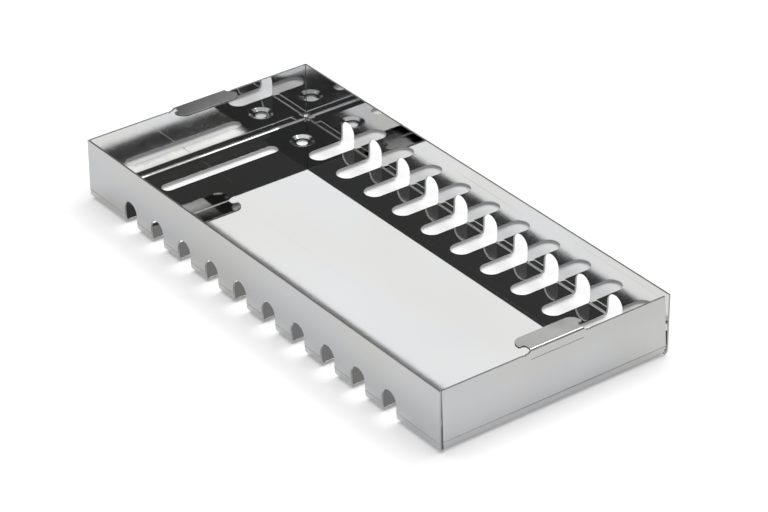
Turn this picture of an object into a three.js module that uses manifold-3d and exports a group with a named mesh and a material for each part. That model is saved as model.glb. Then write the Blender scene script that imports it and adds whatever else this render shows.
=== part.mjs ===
// Perforated instrument tray, folded from one thin stainless sheet.
//
// Units are millimetres. +Z is up, +X runs along the tray and +Y across it. The origin is on the
// surface that the tray stands on, under the middle of the tray. The sheet is one piece that is
// pierced flat and then folded, so each node below is one panel of it, between two fold lines, and
// neighbouring panels stop JOINT_GAP short of each other.

import * as THREE from 'three';
import { mergeVertices } from 'three/addons/utils/BufferGeometryUtils.js';
import Module from 'manifold-3d';

// ---- driving dimensions ----------------------------------------------------------------------

const LENGTH = 235; // outer faces of the two end walls
const WIDTH = 110; // outer faces of the two long walls
const WALL_HEIGHT = 26.5; // underside of the floor to the free edge of a wall
const SHEET = 0.8; // sheet thickness
const BEND_RADIUS = 0.8; // inside radius of the fold between floor and wall
const JOINT_GAP = 0.3; // gap between panels that meet on a fold line
const CORNER_SEAM = 0.5; // open seam between an end wall and the long walls

const VENT_PITCH = 19.3; // spacing of the vents along a long wall
const VENT_WIDTH = 8.9; // width of a vent, in the wall and in the floor
const VENT_HEIGHT = 11.1; // underside of the floor to the crown of the arch
const VENT_REACH = 20; // outer face of the wall to the rounded end of the vent in the floor
const VENT_END_MARGIN = 30; // least distance from an end wall to the middle of a vent

const FOOT_INSET_X = 16; // outer face of the end wall to the middle of a foot
const FOOT_INSET_Y = 14; // outer face of the long wall to the middle of a foot
const FOOT_DIAMETER = 11; // rim of the pressed dimple
const FOOT_SOLE_DIAMETER = 7.4; // flat ring that the foot stands on
const FOOT_HOLE = 4.9; // drain hole through the foot
const FOOT_DROP = 1; // how far a foot stands below the floor

const END_SLOT_INSET = 14.5; // outer face of the end wall to the middle of the slot
const END_SLOT_WIDTH = 5.5;
const END_SLOT_WEB = 6.5; // sheet left between the slot and the rim of a foot, across the tray

const LIP_NECK_WIDTH = 25; // tongue that rises from the end wall
const LIP_HEAD_OVERHANG = 2.65; // how far the crossbar of the T runs past the neck on each side
const LIP_HEAD_DEPTH = 5.4; // crossbar, along the tray
const LIP_REACH = 9.5; // outer face of the end wall to the free edge of the lip
const LIP_BEND_RADIUS = 0.4; // inside radius of the fold at the top of the end wall
const LIP_CORNER_RADIUS = 4.4; // free corners of the crossbar, at most what its depth leaves room for
const LIP_NOTCH_RADIUS = 1.2; // inside corners between neck and crossbar
const LIP_HEEL_RADIUS = 0.8; // corners of the crossbar that face the end wall

const ARC_STEPS = 4; // half the number of straight steps in an arc
const FOOT_SIDES = 24;
const CUT = 1; // how far a cutter runs past the sheet

// ---- sizes that follow -----------------------------------------------------------------------

const BEND_OUTER = BEND_RADIUS + SHEET;
const FLOOR_UNDERSIDE = FOOT_DROP;
const WALL_TOP = FLOOR_UNDERSIDE + WALL_HEIGHT;
const LIP_BEND_OUTER = LIP_BEND_RADIUS + SHEET;
const FLOOR_LENGTH = LENGTH - 2 * (BEND_OUTER + JOINT_GAP);
const FLOOR_WIDTH = WIDTH - 2 * (BEND_OUTER + JOINT_GAP);
const END_WALL_WIDTH = WIDTH - 2 * (SHEET + CORNER_SEAM);
const VENT_COUNT = Math.floor((LENGTH - 2 * VENT_END_MARGIN) / VENT_PITCH) + 1;
const FOOT_X = LENGTH / 2 - FOOT_INSET_X;
const FOOT_Y = WIDTH / 2 - FOOT_INSET_Y;
const END_SLOT_X = LENGTH / 2 - END_SLOT_INSET;
const END_SLOT_LENGTH = 2 * (FOOT_Y - FOOT_DIAMETER / 2 - END_SLOT_WEB);
const LIP_HEAD_WIDTH = LIP_NECK_WIDTH + 2 * LIP_HEAD_OVERHANG;

// ---- finishes --------------------------------------------------------------------------------

const satinSteel = new THREE.MeshStandardMaterial({ color: 0xb9babb, roughness: 0.38, metalness: 1 });
const mirrorSteel = new THREE.MeshStandardMaterial({ color: 0xcfd0d2, roughness: 0.06, metalness: 1 });

// ---- solids ----------------------------------------------------------------------------------

const wasm = await Module();
wasm.setup();

/** A closed three.js geometry as a solid that can be cut and joined. */
function toSolid(geometry) {
  const bare = geometry.clone();
  bare.deleteAttribute('normal');
  bare.deleteAttribute('uv');
  const merged = mergeVertices(bare, 1e-4);
  const mesh = new wasm.Mesh({
    numProp: 3,
    vertProperties: new Float32Array(merged.attributes.position.array),
    triVerts: new Uint32Array(merged.index.array),
  });
  return new wasm.Manifold(mesh);
}

/** A solid as a three.js geometry. */
function toGeometry(solid) {
  const mesh = solid.getMesh();
  const geometry = new THREE.BufferGeometry();
  geometry.setAttribute('position', new THREE.BufferAttribute(mesh.vertProperties, 3));
  geometry.setIndex(new THREE.BufferAttribute(mesh.triVerts, 1));
  geometry.computeVertexNormals();
  return geometry;
}

/** Cuts every cutter out of a geometry. */
function pierce(geometry, cutters) {
  return toGeometry(cutters.reduce((solid, cutter) => solid.subtract(toSolid(cutter)), toSolid(geometry)));
}

/** Extrudes an outline drawn in XY from z = low to z = high. */
function slab(outline, low, high) {
  const geometry = new THREE.ExtrudeGeometry(outline, {
    depth: high - low,
    bevelEnabled: false,
    curveSegments: ARC_STEPS,
  });
  return geometry.translate(0, 0, low);
}

/** Extrudes an outline drawn in (outward, up) along the run of a wall, centred on it. */
function alongWall(outline, run) {
  const toWall = new THREE.Matrix4().makeBasis(
    new THREE.Vector3(1, 0, 0),
    new THREE.Vector3(0, 0, 1),
    new THREE.Vector3(0, -1, 0),
  );
  return slab(outline, -run / 2, run / 2).applyMatrix4(toWall);
}

/** Extrudes an outline drawn in (along the wall, up) through the wall, from outward = from to = to. */
function throughWall(outline, from, to) {
  const toWall = new THREE.Matrix4().makeBasis(
    new THREE.Vector3(0, 1, 0),
    new THREE.Vector3(0, 0, 1),
    new THREE.Vector3(1, 0, 0),
  );
  return slab(outline, from, to).applyMatrix4(toWall);
}

function box(sizeX, sizeY, sizeZ, x, y, z) {
  return new THREE.BoxGeometry(sizeX, sizeY, sizeZ).translate(x, y, z);
}

/** An obround outline, round at both ends, with its length along X or Y. */
function obround(length, width, alongX) {
  const radius = width / 2;
  const reach = length / 2 - radius;
  const outline = new THREE.Shape();
  if (alongX) {
    outline.absarc(reach, 0, radius, -Math.PI / 2, Math.PI / 2, false);
    outline.absarc(-reach, 0, radius, Math.PI / 2, 1.5 * Math.PI, false);
  } else {
    outline.absarc(0, reach, radius, 0, Math.PI, false);
    outline.absarc(0, -reach, radius, Math.PI, 2 * Math.PI, false);
  }
  outline.closePath();
  return outline;
}

/** Middles of the vents along a long wall, spread evenly about its middle. */
function ventPositions() {
  return Array.from({ length: VENT_COUNT }, (_, i) => (i - (VENT_COUNT - 1) / 2) * VENT_PITCH);
}

// ---- walls: outward is +X, the outer face is at x = 0, the underside of the floor at z = 0 -----

/** Section of a wall with the fold at its foot, ending where the floor turns flat. */
function wallSection() {
  const section = new THREE.Shape();
  section.absarc(-BEND_OUTER, BEND_OUTER, BEND_OUTER, -Math.PI / 2, 0, false);
  section.lineTo(0, WALL_HEIGHT);
  section.lineTo(-SHEET, WALL_HEIGHT);
  section.absarc(-BEND_OUTER, BEND_OUTER, BEND_RADIUS, 0, -Math.PI / 2, true);
  section.closePath();
  return section;
}

/** Blocks that keep the folded foot of an end wall clear of the long walls. */
function cornerReliefs() {
  const width = (END_WALL_WIDTH - FLOOR_WIDTH) / 2 + CUT;
  const height = BEND_OUTER + CUT;
  const depth = BEND_OUTER + 2 * CUT;
  return [-1, 1].map((side) =>
    box(depth, width, height, -BEND_OUTER / 2, side * (FLOOR_WIDTH / 2 + width / 2), BEND_OUTER - height / 2),
  );
}

/** The arched part of a vent, cut through the wall and its fold. */
function ventArch(along) {
  const radius = VENT_WIDTH / 2;
  const outline = new THREE.Shape();
  outline.moveTo(along - radius, -CUT);
  outline.lineTo(along + radius, -CUT);
  outline.absarc(along, VENT_HEIGHT - radius, radius, 0, Math.PI, false);
  outline.closePath();
  return throughWall(outline, -BEND_OUTER - CUT, CUT);
}

function longWallGeometry() {
  return pierce(alongWall(wallSection(), LENGTH), ventPositions().map(ventArch));
}

function endWallGeometry() {
  return pierce(alongWall(wallSection(), END_WALL_WIDTH), cornerReliefs());
}

// ---- grip lip: outward is +X, the outer face of the end wall is at x = 0, its free edge at z = 0 --

/** Section of the lip: a tight fold at the top of the end wall, then a flat plate over the tray. */
function lipSection() {
  const section = new THREE.Shape();
  section.absarc(-LIP_BEND_OUTER, JOINT_GAP, LIP_BEND_OUTER, 0, Math.PI / 2, false);
  section.lineTo(-LIP_REACH, JOINT_GAP + LIP_BEND_OUTER);
  section.lineTo(-LIP_REACH, JOINT_GAP + LIP_BEND_RADIUS);
  section.absarc(-LIP_BEND_OUTER, JOINT_GAP, LIP_BEND_RADIUS, Math.PI / 2, 0, true);
  section.closePath();
  return section;
}

/** Outline of the T from above: a neck, rounded notches, and a crossbar with rounded corners. */
function lipOutline() {
  const neck = LIP_NECK_WIDTH / 2;
  const head = LIP_HEAD_WIDTH / 2;
  const step = -LIP_REACH + LIP_HEAD_DEPTH;
  const notch = LIP_NOTCH_RADIUS;
  const heel = LIP_HEEL_RADIUS;
  const corner = Math.min(LIP_CORNER_RADIUS, LIP_HEAD_DEPTH - heel);
  const outline = new THREE.Shape();
  outline.moveTo(CUT, -neck);
  outline.lineTo(CUT, neck);
  outline.absarc(step + notch, neck + notch, notch, -Math.PI / 2, -Math.PI, true);
  outline.absarc(step - heel, head - heel, heel, 0, Math.PI / 2, false);
  outline.absarc(-LIP_REACH + corner, head - corner, corner, Math.PI / 2, Math.PI, false);
  outline.absarc(-LIP_REACH + corner, -head + corner, corner, Math.PI, 1.5 * Math.PI, false);
  outline.absarc(step - heel, -head + heel, heel, 1.5 * Math.PI, 2 * Math.PI, false);
  outline.absarc(step + notch, -neck - notch, notch, Math.PI, Math.PI / 2, true);
  outline.closePath();
  return outline;
}

function gripLipGeometry() {
  const strip = toSolid(alongWall(lipSection(), LIP_HEAD_WIDTH));
  return toGeometry(strip.intersect(toSolid(slab(lipOutline(), -CUT, LIP_BEND_OUTER + CUT))));
}

// ---- floor: centred, with its underside at z = 0 -----------------------------------------------

/** The part of a vent that runs into the floor, as a slot open at the edge of the panel. */
function floorVent(along, side) {
  const length = VENT_REACH + VENT_WIDTH;
  const middle = side * (WIDTH / 2 - VENT_REACH + length / 2);
  return slab(obround(length, VENT_WIDTH, false), -CUT, SHEET + CUT).translate(along, middle, 0);
}

function floorGeometry() {
  const plate = box(FLOOR_LENGTH, FLOOR_WIDTH, SHEET, 0, 0, SHEET / 2);
  const vents = ventPositions().flatMap((along) => [-1, 1].map((side) => floorVent(along, side)));
  const endSlots = [-1, 1].map((end) =>
    slab(obround(END_SLOT_LENGTH, END_SLOT_WIDTH, false), -CUT, SHEET + CUT).translate(end * END_SLOT_X, 0, 0),
  );
  const footHoles = footPositions().map(({ x, y }) => {
    const radius = FOOT_DIAMETER / 2 + JOINT_GAP;
    const hole = new THREE.CylinderGeometry(radius, radius, SHEET + 2 * CUT, FOOT_SIDES);
    return hole.rotateX(Math.PI / 2).translate(x, y, SHEET / 2);
  });
  return pierce(plate, [...vents, ...endSlots, ...footHoles]);
}

// ---- feet: a pressed dimple with a drain hole, standing on z = 0 --------------------------------

function footPositions() {
  return [
    { name: 'front_left', x: -FOOT_X, y: -FOOT_Y },
    { name: 'front_right', x: FOOT_X, y: -FOOT_Y },
    { name: 'back_left', x: -FOOT_X, y: FOOT_Y },
    { name: 'back_right', x: FOOT_X, y: FOOT_Y },
  ];
}

function footGeometry() {
  const hole = FOOT_HOLE / 2;
  const sole = FOOT_SOLE_DIAMETER / 2;
  const rim = FOOT_DIAMETER / 2;
  const section = [
    new THREE.Vector2(hole, 0),
    new THREE.Vector2(sole, 0),
    new THREE.Vector2(rim, FOOT_DROP),
    new THREE.Vector2(rim, FOOT_DROP + SHEET),
    new THREE.Vector2(sole, SHEET),
    new THREE.Vector2(hole, SHEET),
    new THREE.Vector2(hole, 0),
  ];
  return new THREE.LatheGeometry(section, FOOT_SIDES).rotateX(Math.PI / 2);
}

// ---- the tray --------------------------------------------------------------------------------

const tray = new THREE.Group();

/** Adds one panel, turned about Z and then moved. */
function addPanel(name, geometry, material, turn, x, y, z) {
  const panel = new THREE.Mesh(geometry, material);
  panel.name = name;
  panel.rotation.z = turn;
  panel.position.set(x, y, z);
  tray.add(panel);
}

const longWall = longWallGeometry();
const endWall = endWallGeometry();
const gripLip = gripLipGeometry();
const foot = footGeometry();

addPanel('floor_panel', floorGeometry(), mirrorSteel, 0, 0, 0, FLOOR_UNDERSIDE);
addPanel('front_long_wall', longWall, satinSteel, -Math.PI / 2, 0, -WIDTH / 2, FLOOR_UNDERSIDE);
addPanel('back_long_wall', longWall, satinSteel, Math.PI / 2, 0, WIDTH / 2, FLOOR_UNDERSIDE);
addPanel('right_end_wall', endWall, satinSteel, 0, LENGTH / 2, 0, FLOOR_UNDERSIDE);
addPanel('left_end_wall', endWall, satinSteel, Math.PI, -LENGTH / 2, 0, FLOOR_UNDERSIDE);
addPanel('right_grip_lip', gripLip, satinSteel, 0, LENGTH / 2, 0, WALL_TOP);
addPanel('left_grip_lip', gripLip, satinSteel, Math.PI, -LENGTH / 2, 0, WALL_TOP);
for (const { name, x, y } of footPositions()) {
  addPanel(`foot_${name}`, foot, mirrorSteel, 0, x, y, 0);
}

export default tray;
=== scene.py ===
"""A perforated instrument tray, folded from one thin stainless sheet, in a plain white studio.

Every panel is made as the real one is: a flat blank is cut out, its vents, slots and foot openings
are punched, its edges are deburred, and it is then folded up along its bend lines. A blank is drawn
in millimetres, with x along the panel, y across it and z through the sheet: z = 0 is the satin side,
which ends up outside, and the other face is the polished side. The finished panel is in metres, in
the frame of the CAD model.
"""

import logging
import math
from dataclasses import dataclass, field
from enum import Enum
from typing import Any, Callable

import bmesh
import bpy
from bpy.types import Material, Node, NodeOutputs, NodeSocket, NodeTree, Object
from mathutils import Matrix, Vector

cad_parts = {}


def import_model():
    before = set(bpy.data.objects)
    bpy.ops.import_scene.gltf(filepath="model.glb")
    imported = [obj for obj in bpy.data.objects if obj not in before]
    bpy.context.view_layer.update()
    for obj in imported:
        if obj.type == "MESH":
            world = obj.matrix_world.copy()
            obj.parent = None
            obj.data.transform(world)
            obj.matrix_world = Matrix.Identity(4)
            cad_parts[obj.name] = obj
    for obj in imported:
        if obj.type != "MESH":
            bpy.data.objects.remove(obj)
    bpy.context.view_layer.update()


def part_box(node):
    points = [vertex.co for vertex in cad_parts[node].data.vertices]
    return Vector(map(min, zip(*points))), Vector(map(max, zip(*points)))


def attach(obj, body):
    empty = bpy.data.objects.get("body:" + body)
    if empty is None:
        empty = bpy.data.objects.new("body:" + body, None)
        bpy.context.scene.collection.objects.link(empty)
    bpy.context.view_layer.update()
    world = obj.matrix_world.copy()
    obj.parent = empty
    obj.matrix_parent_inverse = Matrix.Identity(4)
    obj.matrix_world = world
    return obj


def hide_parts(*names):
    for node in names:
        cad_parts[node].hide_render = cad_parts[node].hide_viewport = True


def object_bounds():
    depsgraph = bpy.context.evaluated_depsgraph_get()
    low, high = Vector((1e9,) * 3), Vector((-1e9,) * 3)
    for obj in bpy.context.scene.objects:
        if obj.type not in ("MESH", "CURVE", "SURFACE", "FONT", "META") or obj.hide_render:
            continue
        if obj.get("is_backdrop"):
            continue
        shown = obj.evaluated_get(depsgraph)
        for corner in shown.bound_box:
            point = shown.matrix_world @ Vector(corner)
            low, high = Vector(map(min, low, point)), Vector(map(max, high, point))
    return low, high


Point = tuple[float, float]
Colour = tuple[float, float, float, float]
Openings = dict[str, float | int]

log = logging.getLogger("instrument_tray")

MM = 0.001
RIGHT_ANGLE = math.pi / 2

BEND_DEFAULTS = {"Start": 0.0, "Angle": 0.0, "Radius": 1.0}
COATS = ("Satin Side", "Polished Side", "Cut Edge")
SHARP_ANGLE = math.radians(31.5)  # edges sharper than this stay crisp
RIM_ANGLE = math.radians(70)  # edges sharper than this are the sheet's own rims
FACE_LIMIT = 0.9  # least z of a flat normal on either side of the sheet
UPRIGHT_LIMIT = 0.5  # greatest z of the normal of a punched edge
BISECT_SNAP = 1e-4  # millimetres
OPENING_SNAP = 0.05  # millimetres, on the facets of a round opening
CURVE_STEPS = 8  # in a quarter or a half turn of a small outline curve
HEEL_STEPS = 6  # in the smallest one
PANEL_HEIGHT = 0.6  # metres over the table, of the light panels mirrored in the polished side
WHITE = (1.0, 1.0, 1.0, 1.0)

# Noise cells per metre along x, y and z.
SLOW_WAVES = (16.0, 22.0, 22.0)
FINE_WAVES = (110.0, 150.0, 150.0)
SMUDGE_CLOUDS = (45.0, 60.0, 60.0)
TINT_CLOUDS = (14.0, 20.0, 55.0)
SHADE_CLOUDS = (9.0, 14.0, 30.0)
GRAIN_STRETCH = 0.012  # fineness along the grain, as a share of that across it
SMUDGE_FADE = (0.48, 0.72)  # noise levels between which a smudge fades in
HAIR_FADE = (0.74, 0.78)  # the same for a scratch
TINT_FADE = (0.36, 0.64)  # and for the cooler tint
SHADE_DEPTH = 0.12  # brightness that the drift of the steel adds at most
SCRATCH_STRETCH = 5.0  # cells per metre along a scratch
SCRATCHES = ((0.35, 900.0), (-0.9, 760.0), (1.25, 1100.0))  # turn, and cells per metre across


class Side(Enum):
    """The wall a panel belongs to, as the turn about Z that takes +Y to the wall's outward side."""

    BACK = 0.0
    LEFT = RIGHT_ANGLE
    FRONT = math.pi
    RIGHT = -RIGHT_ANGLE


class Slot(Enum):
    """The finishes that the record names."""

    SATIN = "satin_sheet"
    POLISHED = "polished_sheet"


# ---- node trees ----


@dataclass
class NodeMaker:
    """Adds nodes to one tree and links them as it goes."""

    tree: NodeTree

    def add(self, kind: str, inputs: dict[str | int, Any] | None = None, **settings: Any) -> Node:
        """Adds a node.

        Args:
            kind: The node's Blender type.
            inputs: For each named or numbered input: a value, an output socket of another node,
                or another node, for its first output.
            **settings: Properties of the node itself, set before its inputs.

        Returns:
            The new node.
        """
        node = self.tree.nodes.new(kind)
        node.location = (180 * (len(self.tree.nodes) % 12), -220 * (len(self.tree.nodes) // 12))
        for name, value in settings.items():
            setattr(node, name, value)
        for name, value in (inputs or {}).items():
            if isinstance(value, Node):
                value = value.outputs[0]
            if isinstance(value, NodeSocket):
                self.tree.links.new(value, node.inputs[name])
            else:
                node.inputs[name].default_value = value
        return node

    def math(self, operation: str, *values: Any) -> NodeSocket:
        """Adds a Math node and returns its result; values are numbers or sockets."""
        return self.add("ShaderNodeMath", dict(enumerate(values)), operation=operation).outputs[0]

    def vector(self, **parts: Any) -> NodeSocket:
        """Adds a vector and returns it; its X, Y and Z are numbers or sockets."""
        return self.add("ShaderNodeCombineXYZ", parts).outputs[0]

    def parts(self, vector: Any) -> NodeOutputs:
        """Splits a vector and returns its X, Y and Z."""
        return self.add("ShaderNodeSeparateXYZ", {0: vector}).outputs

    def end(self, **results: Any) -> NodeTree:
        """Connects the tree's outputs and returns the tree."""
        self.add("NodeGroupOutput", results)
        return self.tree

    def take(self, name: str, kind: str, default: Any = None) -> None:
        """Declares an input of the tree.

        Args:
            name: The input's name.
            kind: Its socket type.
            default: Its default value, if it has one.
        """
        item = self.tree.interface.new_socket(name, in_out="INPUT", socket_type=kind)
        if default is not None:
            item.default_value = default

    def give(self, name: str, kind: str) -> None:
        """Declares an output of the tree."""
        self.tree.interface.new_socket(name, in_out="OUTPUT", socket_type=kind)


def geometry_tree(
    name: str, numbers: dict[str, float | int], *materials: str
) -> tuple[NodeMaker, NodeOutputs]:
    """Starts a Geometry Nodes tree that takes a geometry, some numbers and some materials.

    Args:
        name: The tree's name.
        numbers: Default value by input name; a whole number makes an integer input.
        *materials: Names of the material inputs.

    Returns:
        A maker for the tree, and its input sockets.
    """
    maker = NodeMaker(bpy.data.node_groups.new(name, "GeometryNodeTree"))
    maker.give("Geometry", "NodeSocketGeometry")
    maker.take("Geometry", "NodeSocketGeometry")
    for label, value in numbers.items():
        maker.take(label, "NodeSocketInt" if isinstance(value, int) else "NodeSocketFloat", value)
    for label in materials:
        maker.take(label, "NodeSocketMaterial")
    return maker, maker.add("NodeGroupInput").outputs


def openings(count: int, pitch: float, across: float, length: float, width: float) -> Openings:
    """Describes a row of equal round-ended openings, as the punch tree takes it."""
    return {"Count": count, "Pitch": pitch, "Across": across, "Length": length, "Width": width}


def punch_tree() -> NodeTree:
    """Builds the tree that punches a row of equal round-ended openings through a flat blank.

    Returns:
        The tree, with the row's sizes as named inputs.
    """
    numbers = {**openings(1, 0.0, 0.0, 1.0, 1.0), "Sides": 64, "Sheet": 1.0}
    maker, given = geometry_tree("punch row", numbers, "Cut Edge")
    reach = maker.math("MULTIPLY", maker.math("SUBTRACT", given["Length"], given["Width"]), 0.5)
    radius = maker.math("MULTIPLY", given["Width"], 0.5)
    depth = maker.math("MULTIPLY", given["Sheet"], 4.0)
    rod = {"Vertices": given["Sides"], "Radius": radius, "Depth": depth}
    punch = maker.add("GeometryNodeMeshCylinder", rod, fill_type="NGON")
    half_step = maker.vector(Z=maker.math("DIVIDE", math.pi, given["Sides"]))
    turned = maker.add("GeometryNodeTransform", {"Geometry": punch, "Rotation": half_step})
    place = maker.parts(maker.add("GeometryNodeInputPosition"))
    stretch = maker.vector(Y=maker.math("MULTIPLY", maker.math("SIGN", place["Y"]), reach))
    long_punch = maker.add("GeometryNodeSetPosition", {"Geometry": turned, "Offset": stretch})
    span = maker.math("MULTIPLY", maker.math("SUBTRACT", given["Count"], 1.0), given["Pitch"])
    half_sheet = maker.math("MULTIPLY", given["Sheet"], 0.5)
    start = maker.vector(X=maker.math("MULTIPLY", span, -0.5), Y=given["Across"], Z=half_sheet)
    line = {"Count": given["Count"], "Start Location": start, "Offset": maker.vector(X=given["Pitch"])}
    row = maker.add("GeometryNodeMeshLine", line)
    punches = maker.add("GeometryNodeInstanceOnPoints", {"Points": row, "Instance": long_punch})
    tools = maker.add("GeometryNodeRealizeInstances", {0: punches})
    meshes = {"Mesh 1": given["Geometry"], "Mesh 2": tools}
    cut = maker.add("GeometryNodeMeshBoolean", meshes, operation="DIFFERENCE", solver="EXACT")
    up = maker.parts(maker.add("GeometryNodeInputNormal"))["Z"]
    upright = maker.math("LESS_THAN", maker.math("ABSOLUTE", up), UPRIGHT_LIMIT)
    return finish_tree(maker, cut, [(given["Cut Edge"], upright)])


def finish_tree(
    maker: NodeMaker,
    geometry: Node,
    coats: list[tuple[NodeSocket, NodeSocket]],
) -> NodeTree:
    """Ends a Geometry Nodes tree: realises its instances and gives its faces their materials.

    Args:
        maker: The tree's maker.
        geometry: The node that gives the geometry made so far.
        coats: Each material socket with the selection that gets it.

    Returns:
        The tree.
    """
    last = maker.add("GeometryNodeRealizeInstances", {0: geometry})
    for material, selection in coats:
        coat = {"Geometry": last, "Selection": selection, "Material": material}
        last = maker.add("GeometryNodeSetMaterial", coat)
    return maker.end(Geometry=last)


def bend_tree() -> NodeTree:
    """Builds the group that bends everything past one line upwards, round an arc.

    Returns:
        The group, with the bend's line, angle and radius as named inputs.
    """
    maker, given = geometry_tree("bend", {**BEND_DEFAULTS, "Sheet": 1.0})
    place = maker.parts(maker.add("GeometryNodeInputPosition"))
    half_sheet = maker.math("MULTIPLY", given["Sheet"], 0.5)
    neutral = maker.math("ADD", given["Radius"], half_sheet)
    arc = maker.math("MULTIPLY", neutral, given["Angle"])
    past = maker.math("SUBTRACT", place["Y"], given["Start"])
    on_arc = maker.math("MINIMUM", maker.math("MAXIMUM", past, 0.0), arc)
    before = maker.math("MINIMUM", past, 0.0)
    beyond = maker.math("MAXIMUM", maker.math("SUBTRACT", past, arc), 0.0)
    turn = maker.math("DIVIDE", on_arc, neutral)
    centre = maker.math("ADD", given["Radius"], given["Sheet"])
    radius = maker.math("SUBTRACT", centre, place["Z"])
    sine, cosine = maker.math("SINE", turn), maker.math("COSINE", turn)
    outward = maker.math("MULTIPLY_ADD", radius, sine, maker.math("MULTIPLY", beyond, cosine))
    across = maker.math("ADD", maker.math("ADD", given["Start"], before), outward)
    drop = maker.math("SUBTRACT", centre, maker.math("MULTIPLY", radius, cosine))
    height = maker.math("MULTIPLY_ADD", beyond, sine, drop)
    bent = maker.vector(X=place["X"], Y=across, Z=height)
    moved = maker.add("GeometryNodeSetPosition", {"Geometry": given["Geometry"], "Position": bent})
    return maker.end(Geometry=moved)


def fold_tree(bend: NodeTree, folds: tuple[str, ...]) -> NodeTree:
    """Builds the tree that folds a punched blank and gives each side of the sheet its finish.

    Args:
        bend: The group that makes one bend.
        folds: Names of the bends, from the free edge inwards.

    Returns:
        The tree, with each bend's line, angle and radius as named inputs.
    """
    sizes = {f"{fold} {size}": value for fold in folds for size, value in BEND_DEFAULTS.items()}
    maker, given = geometry_tree("fold panel", {**sizes, "Sheet": 1.0}, *COATS)
    flat_normal = maker.add("GeometryNodeCaptureAttribute", {0: given["Geometry"]}, domain="FACE")
    flat_normal.capture_items.new("VECTOR", "Flat Normal")
    maker.tree.links.new(maker.add("GeometryNodeInputNormal").outputs[0], flat_normal.inputs[1])
    geometry = flat_normal
    for fold in folds:
        own = {size: given[f"{fold} {size}"] for size in BEND_DEFAULTS}
        inputs = {"Geometry": geometry, "Sheet": given["Sheet"], **own}
        geometry = maker.add("GeometryNodeGroup", inputs, node_tree=bend)
    smooth = {"Geometry": geometry, "Shade Smooth": True}
    smooth = maker.add("GeometryNodeSetShadeSmooth", smooth, domain="FACE")
    corner = maker.math("GREATER_THAN", maker.add("GeometryNodeInputMeshEdgeAngle"), SHARP_ANGLE)
    split = {"Geometry": smooth, "Selection": corner, "Shade Smooth": False}
    split = maker.add("GeometryNodeSetShadeSmooth", split, domain="EDGE")
    up = maker.parts(flat_normal.outputs[1])["Z"]
    coats = [
        # Faces that are neither flat side, the flanks of the scored lines among them, take the cut edge's
        # darker colour, which is partly painted shade.
        (given["Cut Edge"], maker.math("GREATER_THAN", 2.0, up)),
        (given["Satin Side"], maker.math("LESS_THAN", up, -FACE_LIMIT)),
        (given["Polished Side"], maker.math("GREATER_THAN", up, FACE_LIMIT)),
    ]
    return finish_tree(maker, split, coats)


def set_inputs(obj: Object, tree: NodeTree, values: dict[str, Any]) -> None:
    """Puts a tree on an object as a modifier.

    Args:
        obj: The object.
        tree: The tree.
        values: A value by input name.
    """
    modifier = obj.modifiers.new(tree.name, "NODES")
    modifier.node_group = tree
    for item in tree.interface.items_tree:
        if item.in_out == "INPUT" and item.name in values:
            modifier[item.identifier] = values[item.name]


def make_plain(obj: Object) -> None:
    """Replaces a mesh by what the object's modifiers make of it, and removes them.

    Args:
        obj: The object.
    """
    graph = bpy.context.evaluated_depsgraph_get()
    mesh = bpy.data.meshes.new_from_object(
        obj.evaluated_get(graph), preserve_all_data_layers=True, depsgraph=graph
    )
    blank = obj.data
    obj.modifiers.clear()
    obj.data = mesh
    mesh.name = obj.name
    bpy.data.meshes.remove(blank)


# ---- shared effects of the finishes ----


def shader_group(name: str, numbers: dict[str, float], *results: str) -> tuple[NodeMaker, Any]:
    """Starts a shader node group.

    Args:
        name: The group's name.
        numbers: Default value by input name.
        *results: Names of its outputs: numbers, but for one named Color.

    Returns:
        A maker for the group, and its input sockets.
    """
    maker = NodeMaker(bpy.data.node_groups.new(name, "ShaderNodeTree"))
    for label, value in numbers.items():
        maker.take(label, "NodeSocketFloat", value)
    for label in results:
        maker.give(label, "NodeSocketColor" if label == "Color" else "NodeSocketFloat")
    return maker, maker.add("NodeGroupInput").outputs


def stretched_noise(
    maker: NodeMaker, scales: tuple[Any, Any, Any], detail: float = 2.0, roughness: float = 0.5
) -> NodeSocket:
    """Adds noise over Object coordinates.

    Args:
        maker: The tree's maker.
        scales: Cells per metre along x, y and z; numbers or sockets.
        detail: The noise node's detail.
        roughness: Its roughness.

    Returns:
        The noise.
    """
    place = maker.parts(maker.add("ShaderNodeTexCoord").outputs["Object"])
    scaled = {axis: maker.math("MULTIPLY", place[axis], scale) for axis, scale in zip("XYZ", scales)}
    noise = {"Vector": maker.vector(**scaled), "Scale": 1.0, "Detail": detail, "Roughness": roughness}
    return maker.add("ShaderNodeTexNoise", noise).outputs[0]


def ramp(maker: NodeMaker, value: Any, low: float, high: float, at_low: float, at_high: float) -> Any:
    """Adds a smooth step of value from at_low, at low, to at_high, at high."""
    step = {"Value": value, "From Min": low, "From Max": high, "To Min": at_low, "To Max": at_high}
    return maker.add("ShaderNodeMapRange", step, interpolation_type="SMOOTHSTEP").outputs[0]


def waviness_group() -> NodeTree:
    """Builds the slow unevenness that cold rolling and folding leave in a thin sheet.

    Returns:
        The group.
    """
    maker, given = shader_group("sheet waviness", {"Fine Share": 0.15}, "Height")
    slow = stretched_noise(maker, SLOW_WAVES, 1.0)
    fine = stretched_noise(maker, FINE_WAVES)
    height = maker.math("MULTIPLY_ADD", fine, given["Fine Share"], slow)
    return maker.end(Height=height)


def grain_group() -> NodeTree:
    """Builds the fine rolling grain that runs along the tray.

    Returns:
        The group.
    """
    maker, given = shader_group("rolling grain", {"Fineness": 9000.0}, "Grain")
    along = maker.math("MULTIPLY", given["Fineness"], GRAIN_STRETCH)
    grain = stretched_noise(maker, (along, given["Fineness"], given["Fineness"]), 3.0, 0.6)
    return maker.end(Grain=grain)


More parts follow.
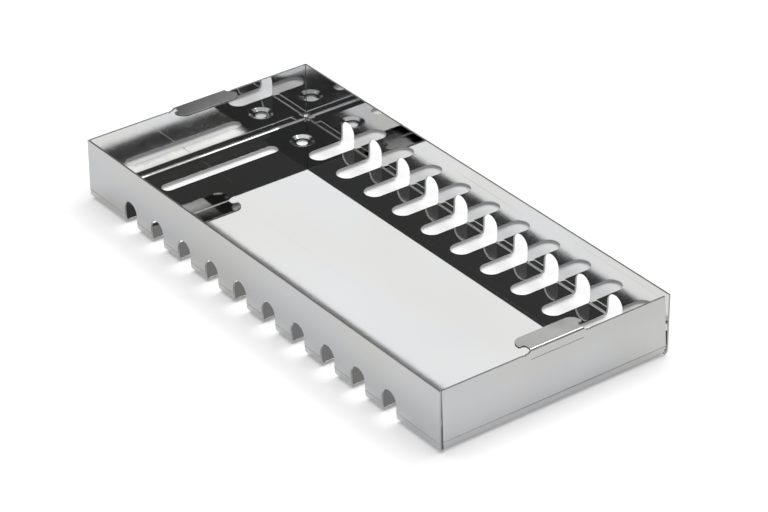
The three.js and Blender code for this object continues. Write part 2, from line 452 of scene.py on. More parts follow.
def handling_group() -> NodeTree:
    """Builds the marks of use: wiped smudges, and hairline scratches in a few directions.

    Returns:
        The group.
    """
    inputs = {"Smudges": 1.0, "Scratches": 1.0}
    maker, given = shader_group("handling marks", inputs, "Smudge", "Scratch")
    cloud = ramp(maker, stretched_noise(maker, SMUDGE_CLOUDS, 4.0, 0.62), *SMUDGE_FADE, 0.0, 1.0)
    place = maker.add("ShaderNodeTexCoord").outputs["Object"]
    scratches: Any = 0.0
    for turn, fineness in SCRATCHES:
        scale = (SCRATCH_STRETCH, fineness, fineness)
        lie = {"Vector": place, "Rotation": (turn, turn * 0.7, turn), "Scale": scale}
        turned = maker.add("ShaderNodeMapping", lie)
        line = maker.add("ShaderNodeTexNoise", {"Vector": turned, "Scale": 1.0, "Detail": 1.0})
        scratches = maker.math("MAXIMUM", scratches, ramp(maker, line, *HAIR_FADE, 0.0, 1.0))
    smudge = maker.math("MULTIPLY", cloud, given["Smudges"])
    scratch = maker.math("MULTIPLY", scratches, given["Scratches"])
    return maker.end(Smudge=smudge, Scratch=scratch)


def tint_group() -> NodeTree:
    """Builds a slow drift of the steel's colour between a warm and a cool grey.

    Returns:
        The group.
    """
    maker, given = shader_group("steel tint", {"Brightness": 0.6}, "Color")
    share = ramp(maker, stretched_noise(maker, TINT_CLOUDS, 3.0, 0.55), *TINT_FADE, 0.0, 1.0)
    drift = stretched_noise(maker, SHADE_CLOUDS)
    level = maker.math("MULTIPLY_ADD", drift, SHADE_DEPTH, given["Brightness"])
    channels = {}
    for channel, warm, cool in (("Red", 1.0, 0.982), ("Green", 0.996, 0.99), ("Blue", 0.975, 1.0)):
        channels[channel] = maker.math("MULTIPLY", level, ramp(maker, share, 0.0, 1.0, warm, cool))
    return maker.end(Color=maker.add("ShaderNodeCombineColor", channels))


@dataclass(frozen=True)
class Effects:
    """The node groups that the finishes share, each built once."""

    waviness: NodeTree = field(default_factory=waviness_group)
    grain: NodeTree = field(default_factory=grain_group)
    handling: NodeTree = field(default_factory=handling_group)
    tint: NodeTree = field(default_factory=tint_group)


# ---- finishes ----


@dataclass(frozen=True)
class SteelFinish:
    """A side of the sheet: how bright and sharp it reflects, and how worn it is."""

    name: str
    brightness: float
    roughness: float
    smudged: float  # roughness that a smudge adds
    scratched: float  # roughness that a scratch adds
    grained: float  # roughness that the grain adds
    wave_depth: float  # metres
    grain_depth: float  # metres
    fine_share: float = 0.15

    def material(self, effects: Effects) -> Material:
        """Builds the material.

        Args:
            effects: The shared node groups.

        Returns:
            A metallic material whose colour, roughness and normal vary over the sheet.
        """
        material = bpy.data.materials.new(self.name)
        material.use_nodes = True
        material.node_tree.nodes.clear()
        maker = NodeMaker(material.node_tree)
        tint, share = {"Brightness": self.brightness}, {"Fine Share": self.fine_share}
        tint = maker.add("ShaderNodeGroup", tint, node_tree=effects.tint)
        wave = maker.add("ShaderNodeGroup", share, node_tree=effects.waviness)
        grain = maker.add("ShaderNodeGroup", node_tree=effects.grain)
        marks = maker.add("ShaderNodeGroup", node_tree=effects.handling).outputs
        rough = maker.math("MULTIPLY_ADD", marks["Smudge"], self.smudged, self.roughness)
        rough = maker.math("MULTIPLY_ADD", marks["Scratch"], self.scratched, rough)
        rough = maker.math("MULTIPLY_ADD", grain, self.grained, rough)
        bump = {"Height": wave, "Strength": 1.0, "Distance": self.wave_depth}
        waves = maker.add("ShaderNodeBump", bump)
        bump = {"Height": grain, "Strength": 1.0, "Distance": self.grain_depth, "Normal": waves}
        normal = maker.add("ShaderNodeBump", bump)
        steel = {"Base Color": tint, "Metallic": 1.0, "Roughness": rough, "Normal": normal}
        maker.add("ShaderNodeOutputMaterial", {"Surface": maker.add("ShaderNodeBsdfPrincipled", steel)})
        return material


SATIN_SIDE = SteelFinish("satin_steel", 0.42, 0.12, 0.05, 0.05, 0.05, 0.000022, 0.0000008)
POLISHED_SIDE = SteelFinish("polished_steel", 0.60, 0.018, 0.012, 0.06, 0.006, 0.000005, 0.0000002)
# The sheared steel's low brightness is partly the duller colour of a cut face and partly painted shade: it
# darkens the thin cut faces in the vents and corner gaps, the deburred rims and the flanks of the scored
# lines as if shade fell there.
SHEARED_EDGE_AND_SHADE = SteelFinish("sheared_steel", 0.28, 0.22, 0.05, 0.05, 0.14, 0.000006, 0.000004, 0.6)


@dataclass(frozen=True)
class Finishes:
    """The three materials of the folded sheet."""

    satin: Material
    polished: Material
    edge: Material

    @classmethod
    def build(cls) -> "Finishes":
        """Builds the shared effects and the three materials."""
        effects = Effects()
        return cls(*(finish.material(effects) for finish in (SATIN_SIDE, POLISHED_SIDE, SHEARED_EDGE_AND_SHADE)))

    @property
    def all(self) -> tuple[Material, ...]:
        """The materials, in the order of the fold tree's coats."""
        return self.satin, self.polished, self.edge


# ---- the sheet and its bends ----


@dataclass(frozen=True)
class Bend:
    """One bend across a blank, in millimetres and radians."""

    name: str
    start: float
    angle: float
    radius: float
    steps: int

    def arc(self, sheet: float) -> float:
        """How much of the blank the bend takes up, measured on the middle of the sheet."""
        return (self.radius + sheet / 2) * self.angle

    def rows(self, sheet: float) -> list[float]:
        """Where the blank is divided so that it can curve."""
        return [self.start + self.arc(sheet) * i / self.steps for i in range(self.steps + 1)]

    def moved(self, across: float, depth: float, sheet: float) -> Point:
        """Where a point of the blank goes, as the fold tree's bend moves it.

        Args:
            across: The point's y.
            depth: Its z.
            sheet: The sheet's thickness.

        Returns:
            The new y and z.
        """
        past, arc = across - self.start, self.arc(sheet)
        turn = min(max(past, 0.0), arc) / (self.radius + sheet / 2)
        beyond, reach = max(past - arc, 0.0), self.radius + sheet - depth
        out = self.start + min(past, 0.0) + reach * math.sin(turn) + beyond * math.cos(turn)
        return out, self.radius + sheet - reach * math.cos(turn) + beyond * math.sin(turn)


@dataclass(frozen=True)
class Groove:
    """A scored line across the satin side of a blank, in millimetres.

    Attributes:
        across: The line's y.
        half_length: From the middle of the panel to either end of the line.
        flank: Width of each side of the groove.
        depth: How deep the line is.
    """

    across: float
    half_length: float = 1000.0
    flank: float = 0.2
    # This depth makes the flanks steep enough to take the cut edge's darker colour, so the line is a painted
    # shade line.
    depth: float = 0.13

    def cuts(self) -> list[tuple[Point, Point]]:
        """Lists the divisions that the groove needs.

        Returns:
            For each, a point of the blank and the way the division faces.
        """
        rows = [((0.0, self.across + self.flank * i), (0.0, 1.0)) for i in (-1, 0, 1)]
        ends = (self.half_length, self.half_length + self.flank)
        return rows + [((side * end, 0.0), (1.0, 0.0)) for side in (-1, 1) for end in ends]

    def press(self, shape: bmesh.types.BMesh, snap: float) -> None:
        """Presses the line into the satin side.

        Args:
            shape: The divided blank.
            snap: How near a point counts as on the line.
        """
        for vertex in shape.verts:
            x, y, z = vertex.co
            if abs(y - self.across) < snap and z < snap and abs(x) < self.half_length + snap:
                vertex.co.z = self.depth


@dataclass(frozen=True)
class WallFolds:
    """How a wall is folded up from the floor: a press-brake bend, then a last few degrees by hand."""

    sheet: float
    wall_height: float
    foot_radius: float = 0.8
    lean: float = math.radians(5)  # the band under the crease leans in by this much
    crease_height: float = 3.6
    crease_radius: float = 1.2
    lip_radius: float = 0.4
    lip_rise: float = 0.3  # wall top to the start of the lip's bend

    @property
    def foot(self) -> Bend:
        """The bend between floor and wall."""
        return Bend("Foot", 0.0, RIGHT_ANGLE - self.lean, self.foot_radius, 10)

    @property
    def crease(self) -> Bend:
        """The slight bend that brings the wall upright, a little way up."""
        arc_end = self.foot.arc(self.sheet)
        _, height = self.foot.moved(arc_end, 0.0, self.sheet)
        rise = (self.crease_height - height) / math.cos(self.lean)
        return Bend("Crease", arc_end + rise, self.lean, self.crease_radius, 1)

    def folded(self, across: float, depth: float = 0.0) -> Point:
        """Where a point of the wall's blank ends up, without a lip.

        Args:
            across: The point's y in the blank.
            depth: Its z in the blank.

        Returns:
            Its distance outward from the seam with the floor, and its height over the floor's underside.
        """
        out, height = self.crease.moved(across, depth, self.sheet)
        return self.foot.moved(out, height, self.sheet)

    @property
    def score(self) -> Groove:
        """The scored line that the crease follows."""
        return Groove(self.crease.start + self.crease.arc(self.sheet) / 2)

    @property
    def reach(self) -> float:
        """Outward distance from the seam to the wall's outer face."""
        return self.folded(self.crease.start + self.wall_height / 2)[0]

    @property
    def top(self) -> float:
        """The y in the blank that becomes the wall's free edge."""
        middle = self.wall_height / 2
        return middle + self.wall_height - self.folded(middle)[1]

    @property
    def lip(self) -> Bend:
        """The tight bend at the top of an end wall."""
        return Bend("Lip", self.top + self.lip_rise, RIGHT_ANGLE, self.lip_radius, 8)

    def height_to_blank(self, height: float) -> float:
        """The y in the blank that ends up at a height on the upright part of the wall."""
        return self.top - (self.wall_height - height)


@dataclass
class Panel:
    """One panel of the sheet: its outline in the blank, its openings, its bends and its place.

    Attributes:
        node: The CAD node that it stands for.
        outline: Corners of the blank, anticlockwise.
        is_seam: Tells whether a point of the blank is where the panel runs on into the next one.
        rows: Divisions across the blank.
        punches: Inputs of the punch tree, one set for each row of openings.
        place: Where the folded panel goes, in millimetres.
        slot: The finish that the record names; not used.
    """

    name: str
    node: str
    outline: list[Point]
    is_seam: Callable[[Vector], bool]
    place: Matrix
    slot: Slot
    rows: list[float] = field(default_factory=list)
    grooves: list[Groove] = field(default_factory=list)
    punches: list[Openings] = field(default_factory=list)
    bends: list[Bend] = field(default_factory=list)


@dataclass
class Workshop:
    """Makes folded panels out of flat blanks.

    Attributes:
        sheet: Thickness of the sheet, in millimetres.
        finishes: The materials of its sides.
        deburr: Width of the rounding along a free edge, in millimetres.
        deburr_steps: Faces across that rounding.
        tolerance: How near a point counts as on a line, in millimetres.
    """

    sheet: float
    finishes: Finishes
    deburr: float = 0.11
    deburr_steps: int = 3
    tolerance: float = 0.004

    def __post_init__(self) -> None:
        """Builds the trees."""
        self.punch = punch_tree()
        self.fold = fold_tree(bend_tree(), ("Lip", "Crease", "Foot"))

    def blank(self, panel: Panel) -> Object:
        """Cuts a panel's blank, with its openings.

        Args:
            panel: What to make.

        Returns:
            The punched blank, as a plain mesh.
        """
        shape = bmesh.new()
        face = shape.faces.new([shape.verts.new((x, y, 0.0)) for x, y in panel.outline])
        raised = bmesh.ops.extrude_face_region(shape, geom=[face])
        lifted = [v for v in raised["geom"] if isinstance(v, bmesh.types.BMVert)]
        bmesh.ops.translate(shape, vec=(0.0, 0.0, self.sheet), verts=lifted)
        bmesh.ops.recalc_face_normals(shape, faces=shape.faces)
        cuts = [((0.0, row), (0.0, 1.0)) for row in panel.rows]
        for point, way in cuts + [cut for groove in panel.grooves for cut in groove.cuts()]:
            whole = [*shape.verts, *shape.edges, *shape.faces]
            bmesh.ops.bisect_plane(
                shape, geom=whole, dist=BISECT_SNAP, plane_co=(*point, 0.0), plane_no=(*way, 0.0)
            )
        for groove in panel.grooves:
            groove.press(shape, self.tolerance)
        blank = new_object(panel.name, shape)
        edge = self.finishes.edge
        for punch in panel.punches:
            set_inputs(blank, self.punch, {**punch, "Sheet": self.sheet, "Cut Edge": edge})
        make_plain(blank)
        return blank

    def mark_rims(self, blank: Object, is_seam: Callable[[Vector], bool]) -> None:
        """Marks a blank's free edges for deburring.

        Args:
            blank: The punched blank.
            is_seam: Tells whether a point is on a seam, which is left alone.
        """
        shape = bmesh.new()
        shape.from_mesh(blank.data)
        layers = shape.edges.layers.float
        weight = layers.get("bevel_weight_edge") or layers.new("bevel_weight_edge")
        for edge in shape.edges:
            middle = (edge.verts[0].co + edge.verts[1].co) / 2
            rim = len(edge.link_faces) == 2 and edge.calc_face_angle(0.0) > RIM_ANGLE
            edge[weight] = 1.0 if rim and not is_seam(middle) else 0.0
        shape.to_mesh(blank.data)
        shape.free()

    def make(self, panel: Panel) -> Object:
        """Makes a finished panel in its place.

        Args:
            panel: What to make.

        Returns:
            The panel, in metres in the row frame.
        """
        piece = self.blank(panel)
        self.mark_rims(piece, panel.is_seam)
        edge = piece.modifiers.new("deburr", "BEVEL")
        edge.limit_method, edge.width, edge.segments = "WEIGHT", self.deburr, self.deburr_steps
        edge.use_clamp_overlap = False
        inputs: dict[str, Any] = {"Sheet": self.sheet, **dict(zip(COATS, self.finishes.all))}
        for bend in panel.bends:
            for size in BEND_DEFAULTS:
                inputs[f"{bend.name} {size}"] = getattr(bend, size.lower())
        set_inputs(piece, self.fold, inputs)
        put_in_place(piece, panel.place)
        return piece


def new_object(name: str, shape: bmesh.types.BMesh) -> Object:
    """Makes an object of a finished shape.

    Args:
        name: The object's name.
        shape: The shape, which is freed.

    Returns:
        The object, in the scene.
    """
    mesh = bpy.data.meshes.new(name)
    shape.to_mesh(mesh)
    shape.free()
    piece = bpy.data.objects.new(name, mesh)
    bpy.context.scene.collection.objects.link(piece)
    return piece


def put_in_place(piece: Object, place: Matrix) -> None:
    """Evens a piece's shading, makes its mesh plain and moves it.

    Args:
        piece: The piece, in millimetres.
        place: Where it goes, in millimetres; it ends up in metres.
    """
    piece.modifiers.new("even shading", "WEIGHTED_NORMAL").keep_sharp = True
    make_plain(piece)
    piece.data.transform(Matrix.Scale(MM, 4) @ place)
    piece.data.update()


def deliver(piece: Object, node: str) -> None:
    """Args:
        piece: The piece.
        node: The CAD node that it stands for.
    """
    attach(piece, "root")
    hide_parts(node)
    log.info("%s stands for %s, with %d faces", piece.name, node, len(piece.data.polygons))


# ---- the tray ----


def arc_points(middle: Point, radius: float, start: float, end: float, steps: int) -> list[Point]:
    """Points of an arc in the blank, ends included; angles in degrees."""
    angles = [math.radians(start + (end - start) * i / steps) for i in range(steps + 1)]
    return [(middle[0] + radius * math.cos(a), middle[1] + radius * math.sin(a)) for a in angles]


def mirrored(half: list[Point]) -> list[Point]:
    """Closes an outline that is drawn for x above 0, from its lowest point up."""
    return half + [(-x, y) for x, y in reversed(half)]


@dataclass(frozen=True)
class TraySizes:
    """The tray's sizes, in millimetres, as the CAD model has them."""

    length: float
    width: float
    floor_underside: float
    sheet: float
    wall_height: float
    foot_x: float
    foot_y: float
    foot_radius: float
    vent_pitch: float = 19.3
    vent_count: int = 10
    vent_width: float = 8.9
    vent_height: float = 11.1
    vent_reach: float = 20.0
    vent_tool: float = 30.0  # length of the round-ended punch
    end_slot_x: float = 103.0
    end_slot_width: float = 5.5
    end_slot_length: float = 58.0

    @classmethod
    def read(cls) -> "TraySizes":
        """Reads what the CAD nodes' boxes give.

        Returns:
            The sizes.
        """
        low, high = (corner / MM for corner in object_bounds())
        floor_low, floor_high = (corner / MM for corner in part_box("floor_panel"))
        foot_low, foot_high = (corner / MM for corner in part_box("foot_back_right"))
        wall_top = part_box("back_long_wall")[1].z / MM
        return cls(
            length=high.x - low.x,
            width=high.y - low.y,
            floor_underside=floor_low.z,
            sheet=floor_high.z - floor_low.z,
            wall_height=wall_top - floor_low.z,
            foot_x=(foot_low.x + foot_high.x) / 2,
            foot_y=(foot_low.y + foot_high.y) / 2,
            foot_radius=(foot_high.x - foot_low.x) / 2,
        )

    def vents(self, across: float) -> Openings:
        """The row of vents, with the middle of its punch at a y of the blank."""
        return openings(self.vent_count, self.vent_pitch, across, self.vent_tool, self.vent_width)


@dataclass
class FoldedSheet:
    """What every sub-assembly of the tray shares: its sizes, its folds and the workshop."""

    sizes: TraySizes
    folds: WallFolds
    workshop: Workshop
    relief: float = 2.6  # blank y up to which an end wall's foot stays clear of the long walls
    foot_gap: float = 0.2  # from the foot of an end wall to the foot of a long wall

    @property
    def floor_half_length(self) -> float:
        """Middle of the tray to the seam with an end wall."""
        return self.sizes.length / 2 - self.folds.reach

    @property
    def floor_half_width(self) -> float:
        """Middle of the tray to the seam with a long wall."""
        return self.sizes.width / 2 - self.folds.reach

    def wall_place(self, side: Side) -> Matrix:
        """Places a wall's blank, with its seam along the edge of the floor.

        Args:
            side: Which wall.

        Returns:
            Where the blank goes, in millimetres.
        """
        is_long = side in (Side.FRONT, Side.BACK)
        seam = self.floor_half_width if is_long else self.floor_half_length
        rise = Matrix.Translation((0.0, 0.0, self.sizes.floor_underside))
        return rise @ Matrix.Rotation(side.value, 4, "Z") @ Matrix.Translation((0.0, seam, 0.0))

    def labels(self, side: Side, kind: str, stands_for: str) -> dict[str, Any]:
        """The names, the place and the finish of a panel of one wall."""
        names = {"name": f"{side.name.lower()}_{kind}", "node": f"{side.name.lower()}_{stands_for}"}
        return {**names, "place": self.wall_place(side), "slot": Slot.SATIN}

    def panels(self) -> list[Panel]:
        """Describes the blanks of the sub-assembly's panels."""
        raise NotImplementedError

    def build(self) -> None:
        """Makes the panels and hands them over."""
        for panel in self.panels():
            deliver(self.workshop.make(panel), panel.node)


@dataclass
class VentedFloor(FoldedSheet):
    """The floor: vents along both long sides, a slot at each end and four openings for the feet."""

    def panels(self) -> list[Panel]:
        """Describes the floor's blank.

        Returns:
            The one panel.
        """
        sizes = self.sizes
        half_x, half_y = self.floor_half_length, self.floor_half_width
        vent_y = sizes.width / 2 - sizes.vent_reach + sizes.vent_tool / 2
        foot = 2 * sizes.foot_radius
        punches = [sizes.vents(side * vent_y) for side in (-1, 1)]
        punches += [openings(2, 2 * sizes.foot_x, side * sizes.foot_y, foot, foot) for side in (-1, 1)]
        end_slot = sizes.end_slot_length, sizes.end_slot_width
        punches.append(openings(2, 2 * sizes.end_slot_x, 0.0, *end_slot))
        floor = Panel(
            name="vented_floor",
            node="floor_panel",
            outline=mirrored([(half_x, -half_y), (half_x, half_y)]),
            is_seam=self.is_seam,
            place=Matrix.Translation((0.0, 0.0, sizes.floor_underside)),
            slot=Slot.POLISHED,
            punches=punches,
        )
        return [floor]

    def is_seam(self, point: Vector) -> bool:
        """Tells where the floor ends or meets a foot.

        Args:
            point: A point of the blank.

        Returns:
            Whether it is on the floor's edge or on that of an opening for a foot.
        """
        near = self.workshop.tolerance
        x, y = abs(point.x), abs(point.y)
        to_foot = math.hypot(x - self.sizes.foot_x, y - self.sizes.foot_y)
        on_edge = x > self.floor_half_length - near or y > self.floor_half_width - near
        return on_edge or abs(to_foot - self.sizes.foot_radius) < OPENING_SNAP


@dataclass
class LongWall(FoldedSheet):
    """A long wall, with the arches of the vents rising from its foot."""

    side: Side = Side.FRONT

    def panels(self) -> list[Panel]:
        """Describes the wall's blank.

        Returns:
            The one panel.
        """
        sizes, folds = self.sizes, self.folds
        half = sizes.length / 2
        crown = folds.height_to_blank(sizes.vent_height)
        wall = Panel(
            **self.labels(self.side, "vented_wall", "long_wall"),
            outline=mirrored([(half, 0.0), (half, folds.top)]),
            is_seam=lambda point: point.y < self.workshop.tolerance,
            rows=folds.foot.rows(sizes.sheet)[1:],
            grooves=[folds.score],
            punches=[sizes.vents(crown - sizes.vent_tool / 2)],
            bends=[folds.crease, folds.foot],
        )
        return [wall]


@dataclass(frozen=True)
class CornerGaps:
    """The open seams beside an end wall, at its foot and at its free edge, in millimetres."""

    front_low: float = 0.5
    front_high: float = 0.5
    back_low: float = 0.5
    back_high: float = 0.5


@dataclass
class EndWall(FoldedSheet):
    """An end wall with the T-shaped grip lip that folds in over the tray from its free edge."""

    side: Side = Side.RIGHT
    gaps: CornerGaps = CornerGaps()
    neck: float = 12.5  # half the width of the lip's neck
    head: float = 15.15  # half the width of the crossbar
    head_depth: float = 5.4
    lip_reach: float = 9.5
    root_fillet: float = 2.0
    corner: float = 4.4
    notch: float = 1.2
    heel: float = 0.8
    nick: float = 0.4  # radius of the small relief beside each fillet
    nick_gap: float = 0.9  # from the fillet to the middle of the relief
    lip_score: float = 2.8  # wall top down to the scored line under the lip

    def fillet_x(self, above: float) -> float:
        """Half the width of the lip's root at a height above the wall's free edge."""
        left = self.root_fillet - min(above, self.root_fillet)
        return self.neck + self.root_fillet - math.sqrt(self.root_fillet**2 - left**2)

    def top_edge(self) -> list[Point]:
        """Draws the wall's free edge, for x above 0.

        Returns:
            Points from the relief to the seam with the lip.
        """
        top, radius = self.folds.top, self.root_fillet
        start = self.neck + radius
        relief = arc_points((start + self.nick_gap, top), self.nick, 0, -180, CURVE_STEPS)
        last = math.degrees(math.acos(1 - self.folds.lip_rise / radius))
        return relief + arc_points((start, top + radius), radius, -90, -90 - last, CURVE_STEPS // 2)

    def wall_panel(self) -> Panel:
        """Describes the wall's blank.

        Returns:
            The panel.
        """
        sizes, folds, gaps = self.sizes, self.folds, self.gaps
        foot, inner = self.floor_half_width - self.foot_gap, sizes.width / 2 - sizes.sheet
        front = [(inner - gaps.front_low, self.relief), (inner - gaps.front_high, folds.top)]
        back = [(inner - gaps.back_low, self.relief), (inner - gaps.back_high, folds.top)]
        near, far = (front, back) if self.side is Side.RIGHT else (back, front)
        edge = self.top_edge()
        right = [(foot, 0.0), (foot, self.relief), *near, *edge]
        left = [(foot, 0.0), (foot, self.relief), *far, *edge]
        return Panel(
            **self.labels(self.side, "folded_end", "end_wall"),
            outline=right + [(-x, y) for x, y in reversed(left)],
            is_seam=self.is_wall_seam,
            rows=folds.foot.rows(sizes.sheet)[1:],
            grooves=[folds.score, Groove(folds.top - self.lip_score, self.neck)],
            bends=[folds.crease, folds.foot],
        )

    def is_wall_seam(self, point: Vector) -> bool:
        """Tells whether a point is on the seam with the floor or with the lip."""
        near = self.workshop.tolerance
        return point.y < near or point.y > self.folds.lip.start - near

    def lip_panel(self) -> Panel:
        """Describes the lip's blank, which runs on from the wall's.

        Returns:
            The panel.
        """
        sizes, folds = self.sizes, self.folds
        lip = folds.lip
        rows = lip.rows(sizes.sheet)
        free = rows[-1] + self.lip_reach - folds.lip_radius - sizes.sheet
        step = free - self.head_depth  # where the neck meets the crossbar
        levels = rows + [(rows[-1] + folds.top + self.root_fillet) / 2, folds.top + self.root_fillet]
        half = [(self.fillet_x(y - folds.top), y) for y in levels]
        notch, heel, corner = self.notch, self.heel, self.corner
        half += arc_points((self.neck + notch, step - notch), notch, 180, 90, CURVE_STEPS)
        half += arc_points((self.head - heel, step + heel), heel, -90, 0, HEEL_STEPS)
        half += arc_points((self.head - corner, free - corner), corner, 0, 90, 2 * CURVE_STEPS)
        return Panel(
            **self.labels(self.side, "lip_plate", "grip_lip"),
            outline=mirrored(half),
            is_seam=lambda point: point.y < lip.start + self.workshop.tolerance,
            rows=rows[1:],
            bends=[lip, folds.crease, folds.foot],
        )

    def panels(self) -> list[Panel]:
        """Describes the wall's blank and the lip's."""
        return [self.wall_panel(), self.lip_panel()]


@dataclass
class PressedFoot(FoldedSheet):
    """A foot: a dimple pressed down through the floor, with a drain hole in its sole."""

    name: str = "front_left"
    hole: float = 2.45  # radius
    sole: float = 3.5  # radius where the flat sole ends
    rounding: float = 0.16
    rounding_steps: int = 3
    sides: int = 64
    slope_steps: int = 10

    def profile(self) -> list[Point]:
        """Draws the foot's section.

        Returns:
            Radius and height of its points, from the hole outwards below and back above.
        """
        rim, sheet, round_ = self.sizes.foot_radius, self.sizes.sheet, self.rounding
        slope = []
        for i in range(self.slope_steps + 1):
            share = i / self.slope_steps
            rise = self.sizes.floor_underside * share * share * (3 - 2 * share)
            slope.append((self.sole + (rim - self.sole) * share, rise))
        middle, steps = self.hole + round_, self.rounding_steps
        low = arc_points((middle, round_), round_, 180, 270, steps)
        high = arc_points((middle, sheet - round_), round_, 90, 180, steps)
        return low + slope + [(r, z + sheet) for r, z in reversed(slope)] + high

    def place(self) -> Point:
        """The middle of the foot."""
        x = self.sizes.foot_x * (1 if self.name.endswith("right") else -1)
        return x, self.sizes.foot_y * (1 if self.name.startswith("back") else -1)

    def build(self) -> None:
        """Turns the profile round the foot's axis, finishes it and hands it over."""
        profile = self.profile()
        shape = bmesh.new()
        rings = []
        for i in range(self.sides):
            turn = (i + 0.5) * 2 * math.pi / self.sides
            across, up = math.cos(turn), math.sin(turn)
            rings.append([shape.verts.new((r * across, r * up, z)) for r, z in profile])
        underside_end = self.rounding_steps + 1 + self.slope_steps
        hole_start = len(profile) - self.rounding_steps - 1
        for i, ring in enumerate(rings):
            after = rings[(i + 1) % self.sides]
            for j in range(len(profile)):
                k = (j + 1) % len(profile)
                face = shape.faces.new((ring[j], after[j], after[k], ring[k]))
                face.smooth = True
                in_hole = j < self.rounding_steps or j >= hole_start
                face.material_index = 2 if in_hole else int(j > underside_end)
        bmesh.ops.recalc_face_normals(shape, faces=shape.faces)
        for edge in shape.edges:
            edge.smooth = edge.calc_face_angle(0.0) < SHARP_ANGLE
        foot = new_object(f"{self.name}_foot", shape)
        for material in self.workshop.finishes.all:
            foot.data.materials.append(material)
        put_in_place(foot, Matrix.Translation((*self.place(), 0.0)))
        deliver(foot, f"foot_{self.name}")


# ---- the studio ----


@dataclass(frozen=True)
class Lamp:
    """A soft box: its middle, the point it faces, its size in metres and its power in watts."""

    name: str
    at: tuple[float, float, float]
    towards: tuple[float, float, float]
    width: float
    height: float
    power: float
    in_reflections: bool = True

    @classmethod
    def ceiling(cls, name: str, at: Point, width: float, height: float, power: float) -> "Lamp":
        """Describes a panel that faces straight down over a point of the table."""
        return cls(name, (*at, PANEL_HEIGHT), (*at, 0.0), width, height, power)

    def build(self) -> None:
        """Puts the soft box up."""
        light = bpy.data.lights.new(self.name, "AREA")
        light.shape, light.size, light.size_y, light.energy = "RECTANGLE", self.width, self.height, self.power
        lamp = bpy.data.objects.new(self.name, light)
        aim = Vector(self.towards) - Vector(self.at)
        lamp.matrix_world = Matrix.Translation(self.at) @ aim.to_track_quat("-Z", "Y").to_matrix().to_4x4()
        lamp.visible_camera = False
        lamp.visible_glossy = self.in_reflections
        bpy.context.scene.collection.objects.link(lamp)


@dataclass(frozen=True)
class Viewpoint:
    """Where the camera stands, in degrees, metres and millimetres of focal length."""

    azimuth: float = 53.26
    elevation: float = 31.09
    roll: float = -0.38
    distance: float = 1.3247
    lens: float = 156.58
    target: tuple[float, float, float] = (0.0013, 0.00706, 0.00628)

    def build(self) -> None:
        """Sets the camera up."""
        turn, tilt = math.radians(self.azimuth), math.radians(self.elevation)
        back = Vector(
            (math.sin(turn) * math.cos(tilt), -math.cos(turn) * math.cos(tilt), math.sin(tilt))
        )
        camera = bpy.data.cameras.new("camera")
        camera.lens, camera.sensor_width = self.lens, 36.0
        camera.clip_start, camera.clip_end = 0.05, 50.0
        holder = bpy.data.objects.new("camera", camera)
        aim = (-back).to_track_quat("-Z", "Y").to_matrix().to_4x4()
        place = Matrix.Translation(Vector(self.target) + back * self.distance)
        holder.matrix_world = place @ aim @ Matrix.Rotation(math.radians(self.roll), 4, "Z")
        bpy.context.scene.collection.objects.link(holder)
        bpy.context.scene.camera = holder


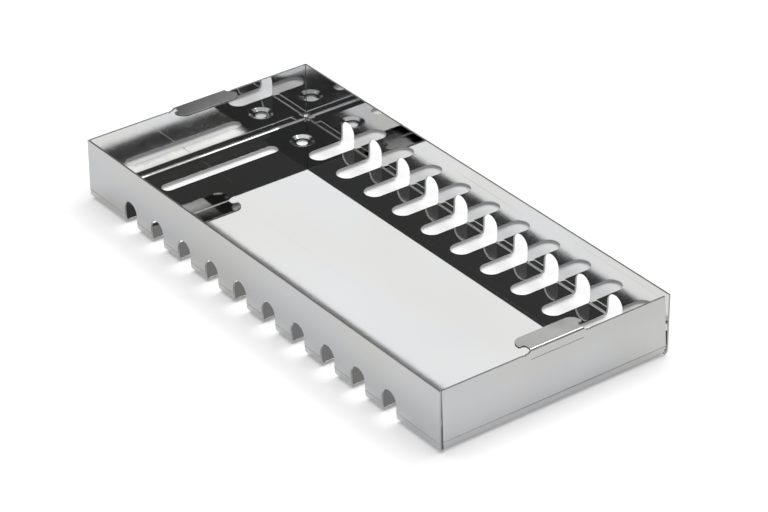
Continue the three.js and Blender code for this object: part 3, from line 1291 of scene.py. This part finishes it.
@dataclass(frozen=True)
class Studio:
    """A plain white table under soft light."""

    view: Viewpoint = Viewpoint()
    lamps: tuple[Lamp, ...] = (
        Lamp("overhead softbox", (0.1, 0.1, 1.6), (0.1, 0.1, 0.0), 2.2, 2.2, 18.0, in_reflections=False),
        Lamp("high back panel", (0.0, 0.62, 1.02), (0.0, 0.0, 0.0), 0.5, 0.34, 2.0),
        Lamp.ceiling("back left panel", (-0.686, 0.597), 0.572, 0.134, 0.265),
        Lamp.ceiling("middle left panel", (-0.686, 0.415), 0.572, 0.230, 0.07),
        Lamp.ceiling("front left panel", (-0.707, -0.717), 0.614, 0.220, 0.66),
        Lamp.ceiling("back right panel", (1.0315, 0.572), 0.397, 0.184, 0.36),
        Lamp.ceiling("front right panel", (1.032, -0.717), 0.376, 0.220, 0.40),
        Lamp.ceiling("front strip", (0.741, -0.717), 0.078, 0.220, 0.083),
        Lamp.ceiling("right strip", (0.791, 0.558), 0.018, 0.146, 0.016),
    )
    table_half: float = 3.0
    table_colour: Colour = (0.86, 0.86, 0.865, 1.0)
    table_glow: float = 0.24
    horizon: float = 0.85
    dark_band: float = 0.07
    zenith: float = 0.9
    horizon_fade: Point = (0.16, 0.30)  # z of the directions where the band begins
    zenith_fade: Point = (0.66, 0.78)  # z of the directions where it ends

    def build(self) -> None:
        """Builds the table, the surroundings, the lamps and the camera."""
        bpy.context.scene.view_settings.view_transform = "Standard"
        self.build_table()
        self.build_surroundings()
        for lamp in self.lamps:
            lamp.build()
        self.view.build()

    def build_table(self) -> None:
        """Lays the pale table that the tray stands on."""
        half = self.table_half
        shape = bmesh.new()
        corners = ((-half, -half), (half, -half), (half, half), (-half, half))
        shape.faces.new([shape.verts.new((x, y, 0.0)) for x, y in corners])
        table = new_object("table", shape)
        material = bpy.data.materials.new("table_white")
        material.use_nodes = True
        paint = material.node_tree.nodes["Principled BSDF"].inputs
        looks = {
            "Base Color": self.table_colour,
            "Roughness": 0.9,
            "Specular IOR Level": 0.1,
            "Emission Color": self.table_colour,
            "Emission Strength": self.table_glow,
        }
        for name, value in looks.items():
            paint[name].default_value = value
        table.data.materials.append(material)
        table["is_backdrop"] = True

    def build_surroundings(self) -> None:
        """Sets the room's light: pale near the horizon and overhead, with a dark band between."""
        world = bpy.data.worlds.new("studio")
        bpy.context.scene.world = world
        world.use_nodes = True
        world.node_tree.nodes.clear()
        maker = NodeMaker(world.node_tree)
        direction = maker.add("ShaderNodeTexCoord").outputs["Generated"]
        height = maker.parts(direction)["Z"]
        low = ramp(maker, height, *self.horizon_fade, self.horizon, self.dark_band)
        high = ramp(maker, height, *self.zenith_fade, 0.0, self.zenith)
        level = maker.math("MAXIMUM", low, high)
        room = maker.add("ShaderNodeBackground", {"Color": WHITE, "Strength": level})
        plain = maker.add("ShaderNodeBackground", {"Color": WHITE, "Strength": 1.0})
        eye = maker.add("ShaderNodeLightPath").outputs["Is Camera Ray"]
        seen = maker.add("ShaderNodeMixShader", {0: eye, 1: room, 2: plain})
        maker.add("ShaderNodeOutputWorld", {"Surface": seen})


# ---- the whole scene ----


def main() -> None:
    """Builds the tray panel by panel and then the studio."""
    logging.basicConfig(level=logging.INFO, format="%(name)s: %(message)s")
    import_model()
    sizes = TraySizes.read()
    folds = WallFolds(sheet=sizes.sheet, wall_height=sizes.wall_height)
    shared = {"sizes": sizes, "folds": folds, "workshop": Workshop(sizes.sheet, Finishes.build())}
    askew = CornerGaps(front_low=0.9, front_high=0.1, back_low=0.35, back_high=1.8)
    snug = CornerGaps(front_low=0.3, front_high=0.3, back_low=0.12, back_high=0.08)
    VentedFloor(**shared).build()
    for side in (Side.FRONT, Side.BACK):
        LongWall(**shared, side=side).build()
    EndWall(**shared, side=Side.RIGHT, gaps=askew).build()
    EndWall(**shared, side=Side.LEFT, gaps=snug).build()
    for name in ("front_left", "front_right", "back_left", "back_right"):
        PressedFoot(**shared, name=name).build()
    Studio().build()


if __name__ == "__main__":
    main()
